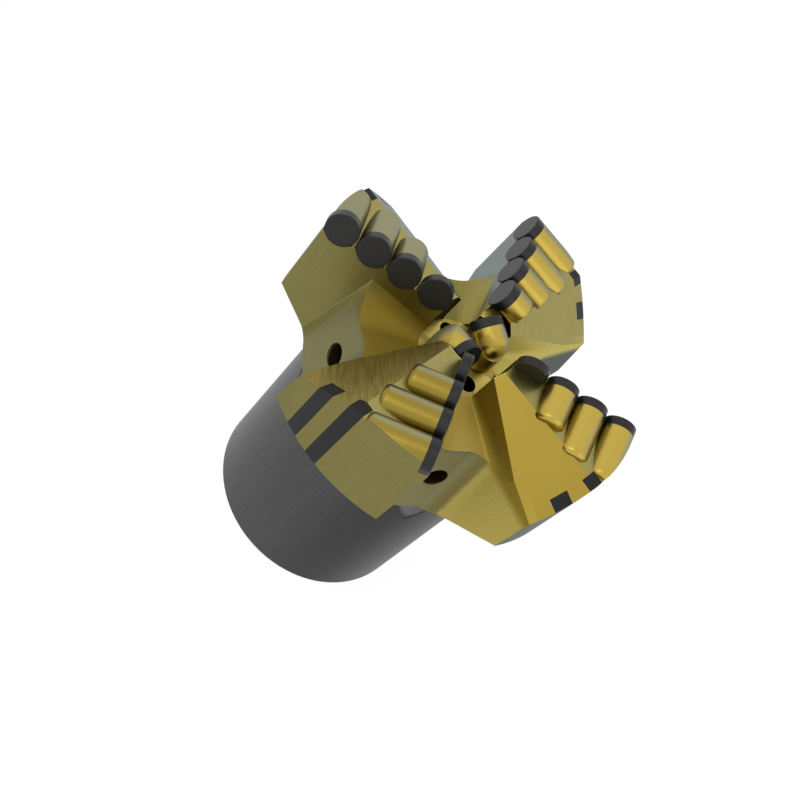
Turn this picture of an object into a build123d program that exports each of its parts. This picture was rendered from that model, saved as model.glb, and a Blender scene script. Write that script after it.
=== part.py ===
from build123d import *
import os
from math import cos, radians, sin, tan

# PDC drill bit: a four-bladed crown with brazed PDC cutters, on a round shank with a box thread.
# Millimetres. Origin: centre of the shank's lower face. +Z runs along the bit's axis towards the cutters.
# A blade frame has X out along the blade and Y towards its leading face. Blade 0 lies along +X.

# Crown blank, turned about the bit's axis
blade_count = 4
gauge_radius = 72.0
gauge_foot_z = 105.5
crown_foot_z = 84.5
land_z = 143.0
core_radius = 17.3
core_depth = 17.0

# Shank, its box connection and the fluid bore
shank_radius = 47.8
shank_chamfer = 1.5
box_mouth_radius = 38.9
box_mouth_depth = 16.0
box_thread_radius = 33.5
box_thread_length = 50.0
bore_radius = 19.0
spigot_radius = 30.0
spigot_length = 12.0
spigot_gap = 0.1
plenum_cover = 18.0

# Blades
leading_offset = 0.17
blade_angle = 47.3
bevel_start = (14.5, -10.0)
bevel_heading = -24.0
bevel_tilt = 36.9
bevel_overrun = 0.5

# Junk slots, with floors that fall outwards
slot_depth = 15.6
slot_floor_fall = 0.12
leading_round = 0.33
trailing_round = 0.17

# Flutes that carry the slots down past the gauge; the profile is given at the crown's foot
flute_lean = 9.42
flute_drift = -1.33
flute_corner_x = 53.5
flute_wall_heading = 120.5
flute_bottom_x = 40.7
flute_bottom_y = 29.46
flute_back_heading = 51.1
flute_corner_round = 8.0
flute_bottom_round = 10.0
flute_back_round = 12.0

# PDC cutters, brazed in pockets, with the steel posts that back them
cutter_radius = 6.72
cutter_thickness = 4.0
cutter_chamfer = 0.35
cutter_spots = (23.56, 37.79, 51.74, 65.89)
cutter_face_y = -0.68
cutter_rise = 2.74
back_rake = 15.9
braze_gap = 0.1
post_ends = (-13.0, -19.2, -25.3, -26.5)
post_round = 2.2
short_post_blade = 1

# Two cutters at the centre, each on a pedestal
centre_spot = (0.36, 11.96)
centre_drop = 3.37
centre_heading = 138.3
centre_rake = 16.1
centre_length = 16.0
centre_round = 5.8
pedestal_margin = 0.8

# Carbide strips let into the gauge
strip_angles = (-36.3, -26.4)
strip_width = 5.8
strip_depth = 5.4

# Water holes
outer_hole_radius = 5.0
outer_hole_mouth = (40.3, 16.3, 105.1)
outer_hole_heading = 24.0
outer_hole_rise = 12.0
inner_hole_radius = 3.8
inner_hole_spot = (9.2, 7.6)

clear = 40.0
pitch = 360.0 / blade_count
crown_top = land_z + clear
core_floor_z = land_z - core_depth
slot_floor_z = land_z - slot_depth
plenum_top_z = core_floor_z - plenum_cover
cutter_face_z = land_z + cutter_rise
centre_face = (*centre_spot, land_z - centre_drop)


def direction(angle, rise=0.0):
    flat = cos(radians(rise))
    return Vector(flat * cos(radians(angle)), flat * sin(radians(angle)), sin(radians(rise)))


def rod(start, along, radius, length):
    return extrude(Plane(origin=start, z_dir=along) * Circle(radius), length)


def crown_blank():
    """Turned envelope of the crown, with the spigot that seats in the shank."""
    spigot_z = crown_foot_z - spigot_length
    outline = Polyline(
        (0, spigot_z),
        (spigot_radius, spigot_z),
        (spigot_radius, crown_foot_z),
        (shank_radius, crown_foot_z),
        (gauge_radius, gauge_foot_z),
        (gauge_radius, land_z),
        (0, land_z),
        close=True,
    )
    return revolve(Plane.XZ * make_face(outline), Axis.Z)


def slot_section(x):
    """Section across a junk slot at distance x along the blade that leads it."""
    near = leading_offset
    far = x * tan(radians(pitch - blade_angle))
    floor = slot_floor_z - slot_floor_fall * x
    near_round = leading_round * x
    far_round = trailing_round * x
    outline = FilletPolyline(
        (near, crown_top),
        (near, floor),
        (far, floor),
        (far, crown_top),
        radius=(near_round, far_round),
    )
    lid = Line((far, crown_top), (near, crown_top))
    return Plane(origin=(x, 0, 0), x_dir=(0, 1, 0), z_dir=(1, 0, 0)) * make_face(outline + lid)


def slot_tool():
    """Junk slot between one blade's leading face and the next blade's trailing face."""
    return loft([slot_section(0.7 * core_radius), slot_section(1.4 * gauge_radius)], ruled=True)


def flute_outline():
    reach = 1.5 * gauge_radius
    wall = direction(flute_wall_heading)
    corner = Vector(flute_corner_x, leading_offset)
    bottom = corner + wall * ((flute_bottom_x - flute_corner_x) / wall.X)
    back = Vector(flute_bottom_x, flute_bottom_y)
    far = back + direction(flute_back_heading) * reach
    near = Vector(far.X, leading_offset)
    outline = FilletPolyline(
        near,
        corner,
        bottom,
        back,
        far,
        radius=(flute_corner_round, flute_bottom_round, flute_back_round),
    )
    return make_face(outline + Line(far, near))


def flute_tool():
    """Leaning flute; it opens the slot outwards, passes the gauge and runs out in the shank."""
    up = Vector(-tan(radians(flute_lean)), tan(radians(flute_drift)), 1)
    foot = Vector(0, 0, crown_foot_z) - up * clear
    prism = extrude(Pos(foot) * flute_outline(), up.length * (crown_top + clear - crown_foot_z), dir=up)
    face = Plane(origin=(0, leading_offset, 0), x_dir=(1, 0, 0), z_dir=(0, 1, 0))
    return split(prism, bisect_by=face, keep=Keep.TOP)


def bevel_tool():
    """Everything above the sloping back part of one blade's land."""
    run = direction(bevel_heading)
    downhill = direction(bevel_heading - 90)
    normal = downhill * sin(radians(bevel_tilt)) + Vector(0, 0, cos(radians(bevel_tilt)))
    slope = Plane(origin=(*bevel_start, land_z), x_dir=run, z_dir=normal)
    outline = Rectangle(2 * gauge_radius, gauge_radius, align=(Align.CENTER, Align.MAX))
    prism = extrude(slope * outline, clear, dir=Vector(0, 0, 1))
    outward = direction(-blade_angle - 90)
    behind = Plane(origin=outward * bevel_overrun, x_dir=direction(-blade_angle), z_dir=outward)
    inside = Plane(origin=direction(-blade_angle / 2), z_dir=direction(-blade_angle / 2))
    return split(split(prism, bisect_by=behind, keep=Keep.BOTTOM), bisect_by=inside, keep=Keep.TOP)


def cutter_plane(spot):
    """Plane of a blade cutter's diamond face, looking forwards."""
    return Plane(origin=(spot, cutter_face_y, cutter_face_z), x_dir=(1, 0, 0), z_dir=direction(90, back_rake))


def centre_plane():
    heading = direction(centre_heading, centre_rake)
    return Plane(origin=centre_face, x_dir=direction(centre_heading - 90), z_dir=heading)


def cutter(plane):
    disc = extrude(plane * Circle(cutter_radius), -cutter_thickness)
    rims = disc.edges().filter_by(GeomType.CIRCLE)
    return chamfer(rims.sort_by_distance(plane.origin + plane.z_dir * cutter_radius)[0], cutter_chamfer)


def pocket(plane):
    seat = plane.offset(-cutter_thickness)
    return extrude(seat * Circle(cutter_radius + braze_gap), 2 * cutter_thickness)


def post(plane, length, end_round):
    """Round steel post behind a cutter, with a rounded back end."""
    seat = plane.offset(-cutter_thickness)
    back = cutter_thickness - length
    body = extrude(seat * Circle(cutter_radius), back)
    ends = body.edges().filter_by(GeomType.CIRCLE)
    end = ends.sort_by_distance(plane.origin - plane.z_dir * 2 * length)[0]
    return fillet(end, end_round)


def blade_post(index):
    length = (cutter_face_y - post_ends[index]) / cos(radians(back_rake))
    shape = post(cutter_plane(cutter_spots[index]), length, post_round)
    return shape & Pos(0, 0, land_z) * Cylinder(gauge_radius, 2 * clear)


def pedestal():
    """Upright-walled pedestal that carries one centre cutter and its post."""
    plane = centre_plane()
    run = (centre_length - cutter_thickness - cutter_radius) * cos(radians(centre_rake))
    radius = cutter_radius + pedestal_margin
    back = direction(centre_heading + 180)
    seat = Vector(centre_face[0], centre_face[1], core_floor_z - 1) + back * cutter_thickness
    front = Plane(origin=seat, x_dir=back, z_dir=(0, 0, 1))
    footprint = front * Pos(run / 2, 0) * Rectangle(run, 2 * radius)
    footprint += front * Pos(run, 0) * Circle(radius)
    column = extrude(footprint, clear)
    above_axis = Plane(origin=plane.origin, x_dir=plane.x_dir, z_dir=plane.x_dir.cross(plane.z_dir) * -1)
    return split(column, bisect_by=above_axis, keep=Keep.TOP)


def strip_tool(angle, margin):
    """Square bar let into the gauge from the outside."""
    inner = gauge_radius - strip_depth
    bar = Box(2 * strip_depth, strip_width + 2 * margin, 3 * clear, align=(Align.MIN, Align.CENTER, Align.CENTER))
    return Rot(0, 0, angle) * Pos(inner, 0, land_z) * bar


def four(shape):
    """The same shape on every blade."""
    return [Rot(0, 0, pitch * step) * shape for step in range(blade_count)]


def water_holes():
    """Fluid passages: the plenum, an inclined hole into each flute and an upright hole by each blade's foot."""
    floor_z = crown_foot_z - spigot_length
    plenum = Pos(0, 0, floor_z) * Cylinder(
        bore_radius,
        plenum_top_z - floor_z,
        align=(Align.CENTER, Align.CENTER, Align.MIN),
    )
    out = direction(outer_hole_heading, outer_hole_rise)
    outer_start = Vector(*outer_hole_mouth) - out * (outer_hole_mouth[0] - 0.5 * bore_radius)
    outer = rod(outer_start, out, outer_hole_radius, outer_hole_mouth[0])
    inner = rod((*inner_hole_spot, plenum_top_z - 2), (0, 0, 1), inner_hole_radius, core_floor_z + 4 - plenum_top_z)
    return [plenum] + four(outer) + four(inner)


def crown_blades():
    """Crown with its slots, flutes and lands, before the cutters are let in."""
    body = crown_blank()
    body -= four(slot_tool())
    body -= four(flute_tool())
    body -= Pos(0, 0, core_floor_z) * Cylinder(core_radius, clear, align=(Align.CENTER, Align.CENTER, Align.MIN))
    body -= four(bevel_tool())
    return body


def cutter_planes():
    """Face planes of every cutter: blade by blade, then the two at the centre."""
    planes = []
    for blade in range(blade_count):
        turn = Rot(0, 0, pitch * blade)
        planes += [Plane(turn * cutter_plane(spot).location) for spot in cutter_spots]
    centre = centre_plane()
    planes += [centre, Plane(Rot(0, 0, 180) * centre.location)]
    return planes


def crown(blades, planes):
    body = blades
    for index in range(len(cutter_spots)):
        posts = four(blade_post(index))
        body += [posts[short_post_blade]] if index == 0 else posts
    centre = [pedestal(), post(centre_plane(), centre_length, centre_round)]
    body += centre + [Rot(0, 0, 180) * shape for shape in centre]
    body -= [pocket(plane) for plane in planes]
    for angle in strip_angles:
        body -= four(strip_tool(angle, braze_gap))
    body -= water_holes()
    return body


def shank():
    """Round shank: box connection below, register bore for the crown's spigot above, flute run-outs."""
    blank = Cylinder(shank_radius, crown_foot_z, align=(Align.CENTER, Align.CENTER, Align.MIN))
    foot = blank.edges().filter_by(GeomType.CIRCLE).sort_by(Axis.Z)[0]
    body = chamfer(foot, shank_chamfer)
    low = (Align.CENTER, Align.CENTER, Align.MIN)
    body -= Cylinder(box_mouth_radius, box_mouth_depth, align=low)
    body -= Pos(0, 0, box_mouth_depth) * Cylinder(box_thread_radius, box_thread_length, align=low)
    body -= Cylinder(bore_radius, crown_foot_z, align=low)
    seat_z = crown_foot_z - spigot_length
    body -= Pos(0, 0, seat_z) * Cylinder(spigot_radius + spigot_gap, spigot_length, align=low)
    body -= four(flute_tool())
    return body


os.makedirs("parts", exist_ok=True)
planes = cutter_planes()
blades = crown_blades()
pieces = {"bit_body": crown(blades, planes), "shank": shank()}
for number, plane in enumerate(planes, 1):
    pieces[f"pdc_cutter_{number:02d}"] = cutter(plane)
for row, angle in enumerate(strip_angles):
    strip = blades & strip_tool(angle, 0)
    for blade, turned in enumerate(four(strip)):
        pieces[f"gauge_strip_{2 * blade + row + 1:02d}"] = turned
for name, piece in pieces.items():
    export_step(piece, f"parts/{name}.step")
    print(name, piece.is_valid, len(piece.solids()), round(piece.volume))
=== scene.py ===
import bpy
from math import cos, degrees, radians, sin
from mathutils import Matrix, Vector

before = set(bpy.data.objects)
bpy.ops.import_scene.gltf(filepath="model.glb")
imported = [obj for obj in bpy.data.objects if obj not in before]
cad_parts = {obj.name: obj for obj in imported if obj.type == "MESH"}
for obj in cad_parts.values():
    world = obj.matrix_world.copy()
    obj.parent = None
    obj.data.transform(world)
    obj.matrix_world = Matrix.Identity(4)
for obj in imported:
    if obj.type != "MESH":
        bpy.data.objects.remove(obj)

bl_info = {
    "name": "PDC drill bit",
    "version": (1, 0, 0),
    "blender": (4, 5, 0),
    "location": "View3D > Sidebar > Drill bit",
    "description": "Finishes a packed PDC drill bit and sets up its stage",
    "category": "Object",
}

CUTTERS = [f"pdc_cutter_{number:02d}" for number in range(1, 19)]
STRIPS = [f"gauge_strip_{number:02d}" for number in range(1, 9)]

# The crown in millimetres and degrees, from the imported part's frame.
# A blade's own frame has X out along the blade and Y towards its leading wall.
LAND_Z = 143.0
SLOT_FLOOR_Z = 124.5
FLUTE_TOP_Z = 119.5
CORE_FLOOR_Z = 126.0
CORE_RADIUS = 17.3
GAUGE_RADIUS = 72.0
SHANK_RADIUS = 47.8
BLADE_ANGLE = 47.3
SLOT_START = -43.5
BEVEL_PLANE = (-0.24, -0.55, 0.80, -116.44)

# Outer water holes, in the blade's frame
HOLE_HEADING = radians(24.0)
HOLE_RADIUS = 5.0
HOLE_OFFSET = 1.5
HOLE_TOP_Z = 111.0
FLUTE_DEPTH = 61.6
FLUTE_LEAN = 0.173

# Level directions that the tones turn on: the lit front and the shaded right of the crown
FRONT = (-0.40, -0.92)
RIGHT = (0.92, -0.40)

# Stage, in metres
FLOOR_SIZE = 12.0
FLOOR_DROP = 0.0002
LAMP_SIZE = 0.9
LAMP_AIM = (0, 0, 0.12)
KEY_PLACE = (-0.9, -0.5, 1.5)
FILL_PLACE = (1.1, -0.9, 0.9)
FILL_SHARE = 0.4
FLOOR_GLOW = 1.1
FLOOR_GLOW_SHARE = 0.86
WHITE = (1.0, 1.0, 1.0, 1.0)

MM_PER_METRE = 1000.0


# Shader helpers

class Value:
    """A number in a node tree; arithmetic on it adds Math nodes."""

    def __init__(self, graph, socket):
        self.graph = graph
        self.socket = socket

    def math(self, operation, *others):
        return self.graph.math(operation, self, *others)

    def __add__(self, other):
        return self.math("ADD", other)

    def __radd__(self, other):
        return self.graph.math("ADD", other, self)

    def __sub__(self, other):
        return self.math("SUBTRACT", other)

    def __rsub__(self, other):
        return self.graph.math("SUBTRACT", other, self)

    def __mul__(self, other):
        return self.math("MULTIPLY", other)

    def __rmul__(self, other):
        return self.graph.math("MULTIPLY", other, self)

    def __neg__(self):
        return self.math("MULTIPLY", -1.0)

    def __abs__(self):
        return self.math("ABSOLUTE")

    def ramp(self, low, high):
        """0 below low, 1 above high, smooth between."""
        return self.graph.node(
            "ShaderNodeMapRange",
            {"interpolation_type": "SMOOTHSTEP"},
            {"Value": self, "From Min": low, "From Max": high},
        )


class Graph:
    """The node tree of a material or a world, emptied and filled again."""

    def __init__(self, owner):
        self.owner = owner
        owner.use_nodes = True
        self.tree = owner.node_tree
        self.tree.nodes.clear()

    def node(self, kind, settings=None, inputs=None, output=0):
        made = self.tree.nodes.new(kind)
        for key, value in (settings or {}).items():
            setattr(made, key, value)
        for key, value in (inputs or {}).items():
            self.feed(made.inputs[key], value)
        return Value(self, made.outputs[output]) if made.outputs else None

    def feed(self, socket, value):
        if isinstance(value, Value):
            self.tree.links.new(value.socket, socket)
        else:
            socket.default_value = value

    def math(self, operation, *values):
        return self.node("ShaderNodeMath", {"operation": operation}, dict(enumerate(values)))

    def colour_mix(self, factor, first, second, blend="MIX"):
        settings = {"data_type": "RGBA", "blend_type": blend}
        return self.node("ShaderNodeMix", settings, {0: factor, 6: first, 7: second}, 2)

    def mix(self, factor, first, second):
        """Colour between first and second."""
        return self.colour_mix(factor, first, second)

    def shade(self, colour, tone):
        """Colour made darker or lighter by a number round 1."""
        grey = self.node("ShaderNodeCombineColor", None, {0: tone, 1: tone, 2: tone})
        return self.colour_mix(1.0, colour, grey, "MULTIPLY")

    def noise(self, vector, scale, detail=2.0, roughness=0.5):
        inputs = {"Vector": vector, "Scale": scale, "Detail": detail, "Roughness": roughness}
        return self.node("ShaderNodeTexNoise", None, inputs)

    def streaks(self, x, y, z, roughness):
        """Noise that is drawn out along the axis with the smallest scale."""
        vector = self.node("ShaderNodeCombineXYZ", None, {"X": x, "Y": y, "Z": z})
        return self.noise(vector, 1.0, 3.0, roughness)

    def object_point(self):
        return self.node("ShaderNodeTexCoord", None, None, 3)

    def parts(self, vector):
        """The x, y and z of a vector."""
        split = self.node("ShaderNodeSeparateXYZ", None, {0: vector})
        return [Value(self, socket) for socket in split.socket.node.outputs]

    def seen(self):
        """1 on rays from the camera, a gloss or a clear piece, 0 on rays that only give light."""
        path = self.node("ShaderNodeLightPath").socket.node.outputs
        names = ("Is Camera Ray", "Is Glossy Ray", "Is Transmission Ray")
        camera, gloss, clear = [Value(self, path[name]) for name in names]
        return camera.math("MAXIMUM", gloss).math("MAXIMUM", clear)

    def metal(self, colour, metallic, roughness, height, distance, constants=None):
        """Ends the material with a shader whose surface rises by height times distance."""
        bump_inputs = {"Height": height, "Distance": distance, "Strength": 1.0}
        inputs = {
            "Base Color": colour,
            "Metallic": metallic,
            "Roughness": roughness,
            "Normal": self.node("ShaderNodeBump", None, bump_inputs),
        }
        inputs.update(constants or {})
        shader = self.node("ShaderNodeBsdfPrincipled", None, inputs)
        return self.end("ShaderNodeOutputMaterial", shader)

    def end(self, kind, shader):
        self.node(kind, None, {"Surface": shader})
        return self.owner


def srgb(red, green, blue):
    """Linear colour from 0-255 display values."""
    def linear(value):
        value /= 255.0
        return value / 12.92 if value <= 0.04045 else ((value + 0.055) / 1.055) ** 2.4
    return (linear(red), linear(green), linear(blue), 1.0)


# Materials

class Place:
    """Where a point lies on the bit, in millimetres, and how its surface faces."""

    def __init__(self, graph):
        self.point = graph.object_point()
        self.x, self.y, self.z = [part * MM_PER_METRE for part in graph.parts(self.point)]
        self.radius = (self.x * self.x + self.y * self.y).math("SQRT")
        self.turn = graph.math("ARCTAN2", self.y, self.x) * degrees(1.0)
        blade_angle = self.from_leading_wall(-BLADE_ANGLE) * radians(1.0)
        self.along = self.radius * blade_angle.math("COSINE")
        self.across = self.radius * blade_angle.math("SINE")
        self.normal = graph.parts(graph.node("ShaderNodeNewGeometry", None, None, 1))
        self.up = self.normal[2]

    def from_leading_wall(self, start):
        """Angle from a blade's leading wall, of the blade that puts it in start to start + 90."""
        return self.turn.math("WRAP", start + 90.0, start)

    def leading(self, angle):
        """How far the surface faces the way that the blade turns which the angle starts at."""
        blade = (self.turn - angle) * radians(1.0)
        return self.normal[1] * blade.math("COSINE") - self.normal[0] * blade.math("SINE")

    def facing(self, direction):
        """How far the surface faces a level direction."""
        return self.normal[0] * direction[0] + self.normal[1] * direction[1]

    def towards(self, direction):
        """How far from the axis the point lies in a level direction."""
        return self.x * direction[0] + self.y * direction[1]


class CrownMasks:
    """1 on a feature of the crown and 0 off it."""

    def __init__(self, place):
        z, radius = place.z, place.radius
        self.front = place.facing(FRONT)
        self.side = place.facing(RIGHT)
        self.low = 1.0 - z.ramp(FLUTE_TOP_Z, SLOT_FLOOR_Z)
        inboard = 1.0 - radius.ramp(GAUGE_RADIUS - 0.2, GAUGE_RADIUS - 0.1)
        self.posts = z.ramp(LAND_Z + 0.05, LAND_Z + 0.3) * inboard

        along, across, rise, offset = BEVEL_PLANE
        slope = place.along * along + place.across * across + z * rise + offset
        self.bevel = (1.0 - abs(slope).ramp(0.12, 0.3)) * (1.0 - z.ramp(LAND_Z - 0.2, LAND_Z))

        angle = place.from_leading_wall(SLOT_START)
        sloping = self.bevel * place.up.ramp(0.6, 0.7)
        sunken = 1.0 - z.ramp(LAND_Z - 1.0, LAND_Z - 0.2)
        self.slot = angle.ramp(0.25, 0.6) * inboard * (1.0 - sloping) * sunken
        self.lead = place.leading(angle)
        self.trailing = self.slot * (1.0 - self.lead.ramp(-0.4, -0.2))

        self.core = 1.0 - radius.ramp(CORE_RADIUS + 0.15, CORE_RADIUS + 0.3)
        inner = 1.0 - radius.ramp(CORE_RADIUS - 0.7, CORE_RADIUS - 0.2)
        self.pedestals = inner * z.ramp(CORE_FLOOR_Z + 0.2, CORE_FLOOR_Z + 1.2)

        ahead, aside = cos(HOLE_HEADING), sin(HOLE_HEADING)
        depth = place.along * ahead + place.across * aside + z * FLUTE_LEAN
        beside = place.across * ahead - place.along * aside + HOLE_OFFSET
        behind_wall = 1.0 - depth.ramp(FLUTE_DEPTH - 1.0, FLUTE_DEPTH - 0.5)
        in_hole = 1.0 - abs(beside).ramp(HOLE_RADIUS + 0.1, HOLE_RADIUS + 0.4)
        below = 1.0 - z.ramp(HOLE_TOP_Z, HOLE_TOP_Z + 1.0)
        self.holes = behind_wall * in_hole * below * (1.0 - self.core)


# Painted light, shade and reflection on faces that look up: blue grey where they turn to the
# back, beige gold in between, amber gold where they turn to the front, brown on bevels turned to
# the left and a brighter gold on the core floor.
def upward_tone(graph, masks, look):
    tone = graph.mix(masks.front.ramp(-0.45, 0.02), look.back_reflection_colour, look.land_colour)
    tone = graph.mix(masks.front.ramp(0.02, 0.5), tone, look.lit_bevel_colour)
    tone = graph.mix((-masks.side).ramp(0.25, 0.55) * masks.bevel, tone, look.shade_colour)
    return graph.mix(masks.core, tone, look.lit_core_colour)


# Painted light, shade and reflection on upright faces: olive gold turned to the front, blue grey
# turned to the back, grey green turned to the right, olive grey on lower flutes turned to the
# left or right, pale gold and slate on trailing walls, and painted shade on the core's wall.
def upright_tone(graph, masks, look):
    tone = graph.mix(masks.front.ramp(0.35, 0.9), look.back_reflection_colour, look.wall_colour)
    tone = graph.mix(masks.side.ramp(0.6, 0.92), tone, look.shaded_right_colour)
    turned = 1.0 - masks.side.ramp(-0.55, -0.1) * (1.0 - masks.side.ramp(0.3, 0.6))
    flute = masks.slot * masks.low * turned * (1.0 - masks.lead.ramp(0.5, 0.9))
    tone = graph.mix(flute, tone, look.flute_colour)
    trailing_tone = graph.mix(masks.side.ramp(0.4, 0.8), look.lit_trailing_colour, look.shaded_trailing_colour)
    tone = graph.mix(masks.trailing, tone, trailing_tone)
    return graph.mix(masks.core, tone, look.hole_shadow_colour)


# Painted light and shade on the slot floors: each takes a lit or shaded copy of the same gold by
# where it lies, amber at the front, olive at the back, gold and beige gold towards the right.
def slot_floor_light_and_shade(graph, place, masks, look):
    right = place.x.ramp(-8.0, 8.0)
    front_tone = graph.mix(
        right * (1.0 - masks.trailing), look.floor_colour, look.right_floor_colour
    )
    back_tone = graph.mix(right, look.back_floor_colour, look.right_back_colour)
    return graph.mix((-place.towards(FRONT)).ramp(-8.0, 8.0), front_tone, back_tone)


# Painted shade and reflection on the cutter posts and the core's pedestals: a deeper gold on
# posts lying towards the front, beige where they turn away from the front or lie to the left.
def post_tone(graph, place, masks, look):
    tone = graph.mix(
        place.towards(FRONT).ramp(12.0, 26.0), look.post_colour, look.front_posts_shaded
    )
    left = (place.x * -1.0 - place.radius * 0.75).ramp(0.0, 2.0)
    warm = masks.front.ramp(-0.15, 0.25) * (1.0 - left)
    return graph.mix(warm, look.post_reflection_colour, tone)


# The crown's brushed gold carries painted light, shade and reflection: its tones turn on the way
# each face looks and where it lies on the crown.
def crown_material(look):
    graph = Graph(bpy.data.materials.new("crown_gold"))
    place = Place(graph)
    masks = CrownMasks(place)

    colour = graph.mix(
        place.up.ramp(0.25, 0.7),
        upright_tone(graph, masks, look),
        upward_tone(graph, masks, look),
    )
    inner_wall = masks.lead.ramp(0.4, 0.7) * (1.0 - place.radius.ramp(36.0, 50.0))
    rising = place.up.ramp(0.25, 0.75).math("MAXIMUM", masks.trailing).math("MAXIMUM", inner_wall)
    floor = masks.slot * (1.0 - masks.core) * (1.0 - masks.low)
    colour = graph.mix(floor * rising, colour, slot_floor_light_and_shade(graph, place, masks, look))
    # painted shade inside the water holes
    colour = graph.mix(masks.holes, colour, look.hole_shadow_colour)
    raised = masks.posts.math("MAXIMUM", masks.pedestals)
    colour = graph.mix(raised, colour, post_tone(graph, place, masks, look))

    # brushed up and down on upright faces, and along the blades on the lands and bevels
    drawn = graph.streaks(place.x * 2.4, place.y * 2.4, place.z * 0.08, 0.65)
    swept = place.across * 0.99 - place.along * 0.13
    brushed = graph.streaks(swept * 2.6, place.along * 0.08, place.z * 0.1, 0.65)
    streak = drawn + (brushed - drawn) * place.up.ramp(0.5, 0.7)
    # painted sheen: the brushing shows strongly on bevels turned to the left and faintly on
    # bevels turned to the front, following the light; the streaks themselves are the brushing
    coarse = masks.bevel * (-masks.side).ramp(0.25, 0.55) * 1.1
    even = masks.bevel * masks.front.ramp(0.3, 0.5) * 0.42
    strength = 0.5 + coarse - even - masks.posts * 0.4
    wide = graph.noise(place.point, 45.0)
    colour = graph.shade(colour, 1.0 + (streak - 0.5) * strength + (wide - 0.5) * 0.14)
    rough = 0.36 + (streak - 0.5) * 0.16 + masks.slot * 0.3 - masks.posts * 0.06
    tint = {"Specular Tint": (0.6, 0.64, 0.64, 1.0)}
    return graph.metal(colour, 1.0, rough, streak, 0.00002, tint)


def shank_material(look):
    graph = Graph(bpy.data.materials.new("shank_steel"))
    place = Place(graph)
    fine = graph.streaks(place.x * 2.0, place.y * 2.0, place.z * 0.06, 0.6)
    colour = graph.mix(fine.ramp(0.3, 0.7), look.shank_dark, look.shank_light)
    colour = graph.mix(place.facing(RIGHT).ramp(0.0, 0.8), colour, look.shank_shade)
    run_out = 1.0 - place.radius.ramp(SHANK_RADIUS - 0.6, SHANK_RADIUS - 0.05)
    colour = graph.mix(run_out, colour, look.run_out_colour)
    return graph.metal(colour, 0.85, 0.42 + (fine - 0.5) * 0.1, fine, 0.00002)


def carbide_material(name, colour, roughness):
    graph = Graph(bpy.data.materials.new(name))
    speck = graph.noise(graph.object_point(), 900.0)
    darker = [0.85 * part for part in colour[:3]] + [1.0]
    tone = graph.mix(speck.ramp(0.3, 0.7), darker, colour)
    return graph.metal(tone, 0.6, roughness + (speck - 0.5) * 0.08, speck, 0.00001)


def floor_material():
    graph = Graph(bpy.data.materials.new("floor_pale"))
    diffuse = graph.node("ShaderNodeBsdfDiffuse", None, {"Color": (0.85, 0.85, 0.85, 1.0)})
    glow = graph.node("ShaderNodeEmission", None, {"Color": WHITE, "Strength": FLOOR_GLOW})
    # the floor doesn't glow under the open bore
    x, y, _ = [part * MM_PER_METRE for part in graph.parts(graph.object_point())]
    clear = (x * x + y * y).math("SQRT").ramp(SHANK_RADIUS - 5.8, SHANK_RADIUS - 0.8)
    factor = graph.seen() * clear * FLOOR_GLOW_SHARE
    mixed = graph.node("ShaderNodeMixShader", None, {0: factor, 1: diffuse, 2: glow})
    return graph.end("ShaderNodeOutputMaterial", mixed)


def dress(names, material):
    """Gives CAD nodes a material."""
    for name in names:
        piece = bpy.data.objects.get(name)
        if piece is None:
            raise RuntimeError(f"the frame has no node {name}")
        piece.data.materials.clear()
        piece.data.materials.append(material)


# Settings

def colour_setting(name, about, *display):
    return bpy.props.FloatVectorProperty(
        name=name, description=about, subtype="COLOR", size=4, min=0.0, max=1.0,
        default=srgb(*display),
    )


def angle_setting(name, about, degrees_turned):
    return bpy.props.FloatProperty(
        name=name, description=about, subtype="ANGLE", default=radians(degrees_turned)
    )


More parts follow.
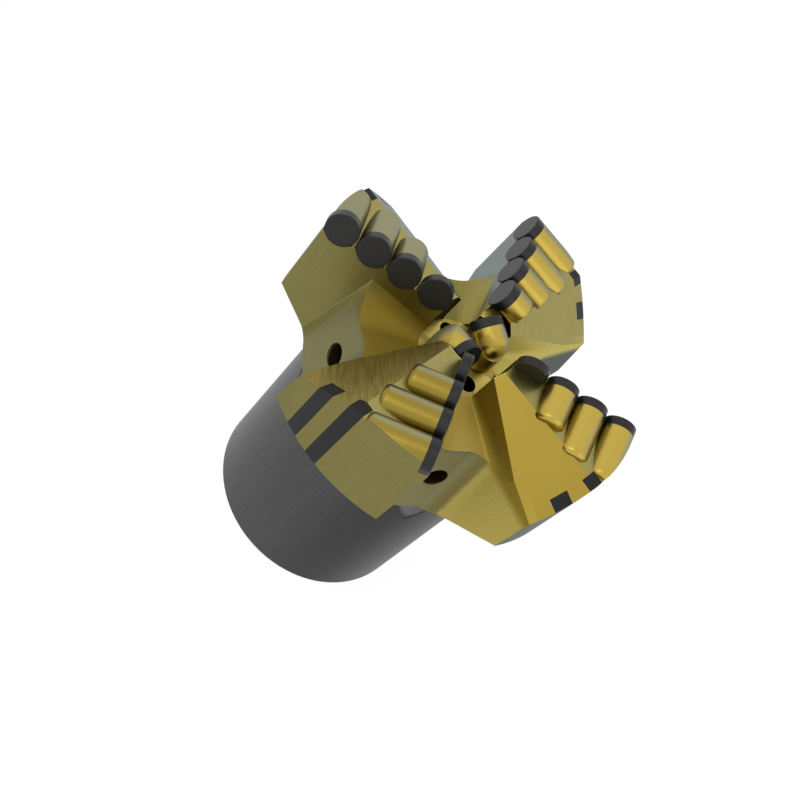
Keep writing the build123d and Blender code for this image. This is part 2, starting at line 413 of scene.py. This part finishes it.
# The crown colours below are lit, shaded and reflecting copies of one brushed gold, picked by the
# way a face looks and where it lies: painted light, shade and reflection.
class BIT_PG_look(bpy.types.PropertyGroup):
    wall_colour: colour_setting("Walls", "Olive gold of upright faces", 128, 121, 73)
    # painted reflection: blue grey on crown faces turned to the back
    back_reflection_colour: colour_setting("Cool faces", "Blue grey towards the back", 133, 141, 137)
    # painted shade: grey green on upright faces turned to the right
    shaded_right_colour: colour_setting("Dark walls", "Grey green towards the right", 92, 95, 84)
    shade_colour: colour_setting("Shaded bevels", "Brown towards the left", 164, 147, 82)
    # painted light and shade: lit and shaded copies of the slot floors' gold
    floor_colour: colour_setting("Front slot floors", "Amber", 148, 128, 50)
    back_floor_colour: colour_setting("Back slot floors", "Olive", 154, 144, 84)
    right_floor_colour: colour_setting("Right slot floor", "Gold", 192, 169, 84)
    right_back_colour: colour_setting("Far slot floor", "Beige gold", 210, 197, 115)
    # painted light: a brighter gold on the core floor
    lit_core_colour: colour_setting("Core floor", "Gold", 202, 182, 98)
    # painted light and shade on trailing walls: pale gold where they face the front, slate grey
    # where they face the right
    lit_trailing_colour: colour_setting("Trailing walls", "Pale gold towards the front", 186, 171, 94)
    shaded_trailing_colour: colour_setting("Slate walls", "Trailing walls on the right", 111, 113, 108)
    flute_colour: colour_setting("Flutes", "Olive grey", 141, 136, 97)
    land_colour: colour_setting("Lands", "Beige gold", 160, 150, 92)
    # painted light: amber gold on bevels turned to the front
    lit_bevel_colour: colour_setting("Bevels", "Amber gold towards the front", 166, 142, 60)
    post_colour: colour_setting("Posts", "Bright gold", 190, 165, 76)
    # painted shade and reflection on posts: deeper gold at the front, beige towards the back
    front_posts_shaded: colour_setting("Front posts", "Deeper gold", 150, 130, 56)
    post_reflection_colour: colour_setting("Cool posts", "Beige towards the back", 154, 149, 115)
    # painted shade: dark brown inside the water holes and on the core's wall
    hole_shadow_colour: colour_setting("Holes", "Dark brown of the core's wall and holes", 70, 62, 30)
    shank_dark: colour_setting("Shank, dark", "Darker tone of the shank", 70, 70, 70)
    shank_shade: colour_setting("Shank, shaded", "The shank's right-hand side", 32, 32, 32)
    shank_light: colour_setting("Shank, light", "Lighter tone of the shank", 81, 81, 81)
    run_out_colour: colour_setting("Run-outs", "Milled run-outs in the shank", 96, 96, 98)
    cutter_colour: colour_setting("Cutters", "Dark grey of the diamond cutters", 48, 48, 48)
    strip_colour: colour_setting("Strips", "Dark grey of the carbide strips", 33, 33, 33)


class BIT_PG_stage(bpy.types.PropertyGroup):
    target: bpy.props.FloatVectorProperty(
        name="Target", description="Point the camera looks at", subtype="TRANSLATION",
        unit="LENGTH", default=(0.001252, 0.013891, 0.07),
    )
    azimuth: angle_setting("Azimuth", "Heading of the camera", -18.004)
    elevation: angle_setting("Elevation", "Height of the camera", 47.199)
    roll: angle_setting("Roll", "Turn of the camera about its line of sight", 46.719)
    distance: bpy.props.FloatProperty(
        name="Distance", description="From the camera to the target", unit="LENGTH",
        default=0.485815,
    )
    world_light: bpy.props.FloatProperty(
        name="World light", description="Strength of the even light", default=0.55,
        min=0.0, max=2.0,
    )
    lamp_power: bpy.props.FloatProperty(
        name="Lamp power", description="Power of the key lamp in watts", default=3.0,
        min=0.0, max=100.0,
    )


# Operators

class BIT_OT_crown(bpy.types.Operator):
    """Finish the crown in brushed gold with painted light, shade and reflection"""
    bl_idname = "drillbit.crown"
    bl_label = "Finish crown"

    def execute(self, context):
        dress(["bit_body"], crown_material(context.scene.bit_look))
        return {"FINISHED"}


class BIT_OT_shank(bpy.types.Operator):
    """Finish the shank in dark brushed steel"""
    bl_idname = "drillbit.shank"
    bl_label = "Finish shank"

    def execute(self, context):
        dress(["shank"], shank_material(context.scene.bit_look))
        return {"FINISHED"}


class BIT_OT_carbide(bpy.types.Operator):
    """Finish the cutters and the gauge strips"""
    bl_idname = "drillbit.carbide"
    bl_label = "Finish cutters and strips"

    def execute(self, context):
        look = context.scene.bit_look
        dress(CUTTERS, carbide_material("cutter_grey", look.cutter_colour, 0.35))
        dress(STRIPS, carbide_material("strip_grey", look.strip_colour, 0.45))
        return {"FINISHED"}


class BIT_OT_stage(bpy.types.Operator):
    """Set up the floor, the light and the camera"""
    bl_idname = "drillbit.stage"
    bl_label = "Set up stage"

    def execute(self, context):
        stage = context.scene.bit_stage
        bpy.ops.mesh.primitive_plane_add(size=FLOOR_SIZE, location=(0, 0, -FLOOR_DROP))
        floor = context.object
        floor.name = "floor"
        floor.data.materials.append(floor_material())
        self.add_world(context, stage)
        self.add_lamp(context, "key", KEY_PLACE, stage.lamp_power)
        self.add_lamp(context, "fill", FILL_PLACE, stage.lamp_power * FILL_SHARE)
        self.add_camera(context, stage)
        context.scene.view_settings.view_transform = "Standard"
        return {"FINISHED"}

    def add_world(self, context, stage):
        """Even light that looks white where it is seen."""
        graph = Graph(bpy.data.worlds.new("even_light"))
        levels = {"Value": graph.seen(), "To Min": stage.world_light, "To Max": 1.0}
        strength = graph.node("ShaderNodeMapRange", None, levels)
        sky = graph.node("ShaderNodeBackground", None, {"Color": WHITE, "Strength": strength})
        context.scene.world = graph.end("ShaderNodeOutputWorld", sky)

    def add_lamp(self, context, name, place, power):
        lamp = bpy.data.lights.new(name, "AREA")
        lamp.size = LAMP_SIZE
        lamp.energy = power
        holder = bpy.data.objects.new(name, lamp)
        holder.location = place
        aim = Vector(LAMP_AIM) - Vector(place)
        holder.rotation_euler = aim.to_track_quat("-Z", "Y").to_euler()
        context.scene.collection.objects.link(holder)

    def add_camera(self, context, stage):
        lens = bpy.data.cameras.new("camera")
        lens.lens = 50.0
        lens.sensor_width = 36.0
        lens.clip_start = 0.01
        camera = bpy.data.objects.new("camera", lens)
        turn, rise, roll = stage.azimuth, stage.elevation, stage.roll
        back = Vector((sin(turn) * cos(rise), -cos(turn) * cos(rise), sin(rise)))
        side = Vector((0, 0, 1)).cross(back).normalized()
        upward = back.cross(side)
        right = side * cos(roll) + upward * sin(roll)
        top = upward * cos(roll) - side * sin(roll)
        place = Matrix((right, top, back)).transposed().to_4x4()
        place.translation = Vector(stage.target) + back * stage.distance
        camera.matrix_world = place
        context.scene.collection.objects.link(camera)
        context.scene.camera = camera


class BIT_PT_panel(bpy.types.Panel):
    bl_label = "Drill bit"
    bl_idname = "BIT_PT_panel"
    bl_space_type = "VIEW_3D"
    bl_region_type = "UI"
    bl_category = "Drill bit"

    def draw(self, context):
        column = self.layout.column()
        for group in (context.scene.bit_look, context.scene.bit_stage):
            for name in group.__annotations__:
                column.prop(group, name)
        for operator in OPERATORS:
            column.operator(operator.bl_idname)


OPERATORS = (BIT_OT_crown, BIT_OT_shank, BIT_OT_carbide, BIT_OT_stage)
CLASSES = (BIT_PG_look, BIT_PG_stage) + OPERATORS + (BIT_PT_panel,)


def register():
    for item in CLASSES:
        bpy.utils.register_class(item)
    bpy.types.Scene.bit_look = bpy.props.PointerProperty(type=BIT_PG_look)
    bpy.types.Scene.bit_stage = bpy.props.PointerProperty(type=BIT_PG_stage)


def unregister():
    del bpy.types.Scene.bit_stage
    del bpy.types.Scene.bit_look
    for item in reversed(CLASSES):
        bpy.utils.unregister_class(item)


def main():
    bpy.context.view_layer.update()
    register()
    bpy.ops.drillbit.crown()
    bpy.ops.drillbit.shank()
    bpy.ops.drillbit.carbide()
    bpy.ops.drillbit.stage()


if __name__ == "__main__":
    main()
